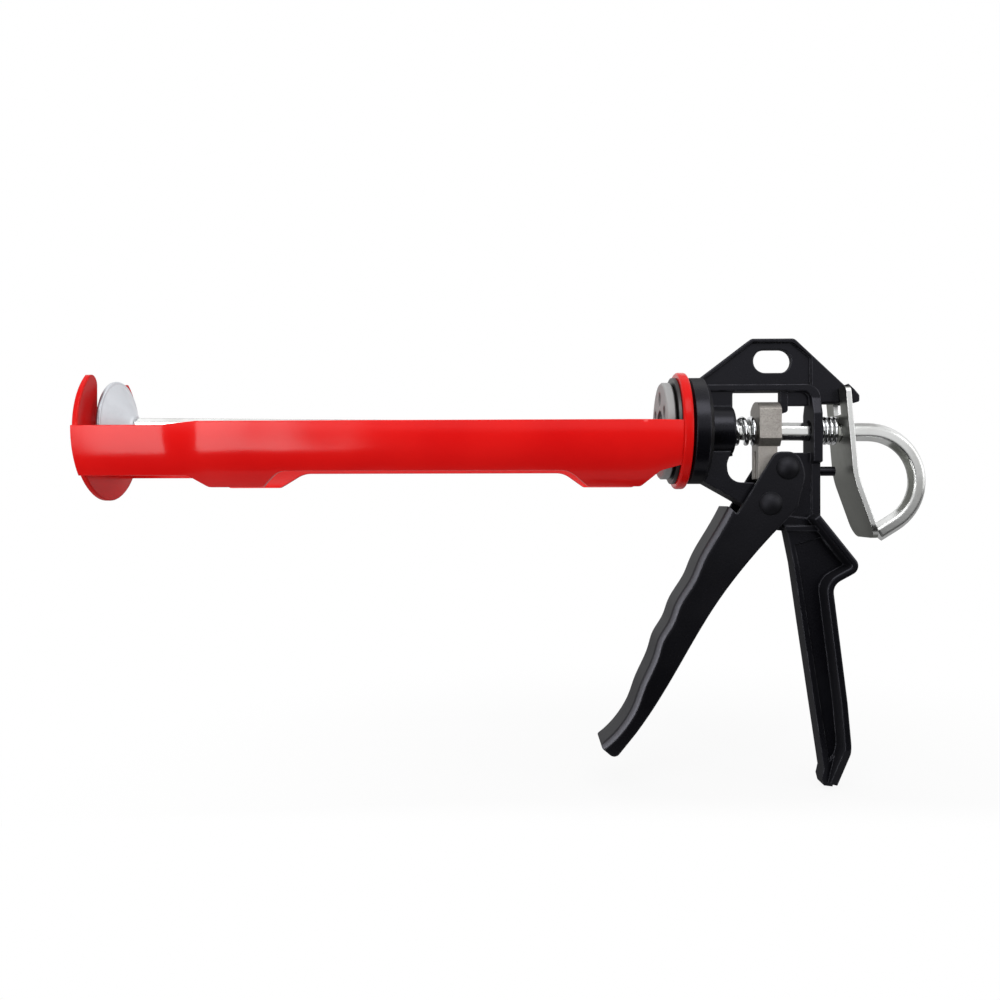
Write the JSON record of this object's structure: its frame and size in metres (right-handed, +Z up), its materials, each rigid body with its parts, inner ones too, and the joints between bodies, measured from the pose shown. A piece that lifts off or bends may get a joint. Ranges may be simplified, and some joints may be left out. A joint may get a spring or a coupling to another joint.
{
  "type": "caulking gun",
  "caption": "Hand caulking gun with a turning red steel cradle, a hexagonal push rod with pull hook and pusher, a black cast handle with trigger, spring-loaded grip and release plate.",
  "frame": {"origin": "where the cradle's axis crosses the rear face of the front plate, at the centre of the nozzle slot", "axes": "+X to the rear along the cradle's axis, +Z up, the gun's left side at -Y"},
  "size_m": [0.3354, 0.0582, 0.18],
  "materials": {
    "red_paint": "gloss red enamel on pressed steel",
    "black_casting": "satin black powder coat on die-cast alloy",
    "black_paint": "satin black paint on pressed steel",
    "grey_casting": "bare die-cast alloy",
    "zinc_steel": "bright zinc plate on steel",
    "bright_wire": "polished plated spring wire",
    "sintered_steel": "grey-brown sintered steel",
    "guide_plastic": "black nylon",
    "bronze": "oiled bronze"
  },
  "bodies": {
    "frame": {"handle_body": "black_casting", "rod_guide": "guide_plastic", "cradle_nut": "grey_casting", "front_thrust_washer": "zinc_steel", "rear_thrust_washer": "guide_plastic", "pivot_bush": "bronze", "drive_spring": "bright_wire", "release_spring": "bright_wire"},
    "cradle": {"left_rail": "red_paint", "right_rail": "red_paint", "front_plate": "red_paint", "rear_ring": "red_paint"},
    "rod": {"push_rod": "zinc_steel", "pusher_disc": "zinc_steel", "pusher_washer": "zinc_steel", "pusher_nut": "zinc_steel"},
    "trigger": {"trigger": "black_paint", "pivot_rivet": "black_paint", "drive_rivet": "black_paint"},
    "grip": {"drive_grip": "sintered_steel"},
    "release": {"release_plate": "zinc_steel"}
  },
  "joints": [
    {"name": "trigger_pull", "type": "hinge", "parent": "frame", "child": "trigger", "pos_m": [0.268, 0, -0.0294], "axis": [0, -1, 0], "range_deg": [0, 25], "stiffness_Nm_per_rad": 0.6, "springref_deg": -20.05},
    {"name": "drive_slide", "type": "slide", "parent": "frame", "child": "grip", "axis": [-1, 0, 0], "range_m": [0, 0.0068], "deforming": ["drive_spring"]},
    {"name": "rod_slide", "type": "slide", "parent": "frame", "child": "rod", "axis": [0.9999, 0, -0.0108], "range_m": [0, 0.2145]},
    {"name": "release_tilt", "type": "hinge", "parent": "frame", "child": "release", "pos_m": [0.2985, 0, 0.0135], "axis": [0, 1, 0], "range_deg": [0, 6], "stiffness_Nm_per_rad": 0.25, "springref_deg": -20.05, "deforming": ["release_spring"]},
    {"name": "cradle_spin", "type": "hinge", "parent": "frame", "child": "cradle", "pos_m": [0.234, 0, 0], "axis": [1, 0, 0], "continuous": true}
  ],
  "couplings": [
    {"joint": "drive_slide", "follows": "trigger_pull", "m_per_rad": 0.0151}
  ]
}
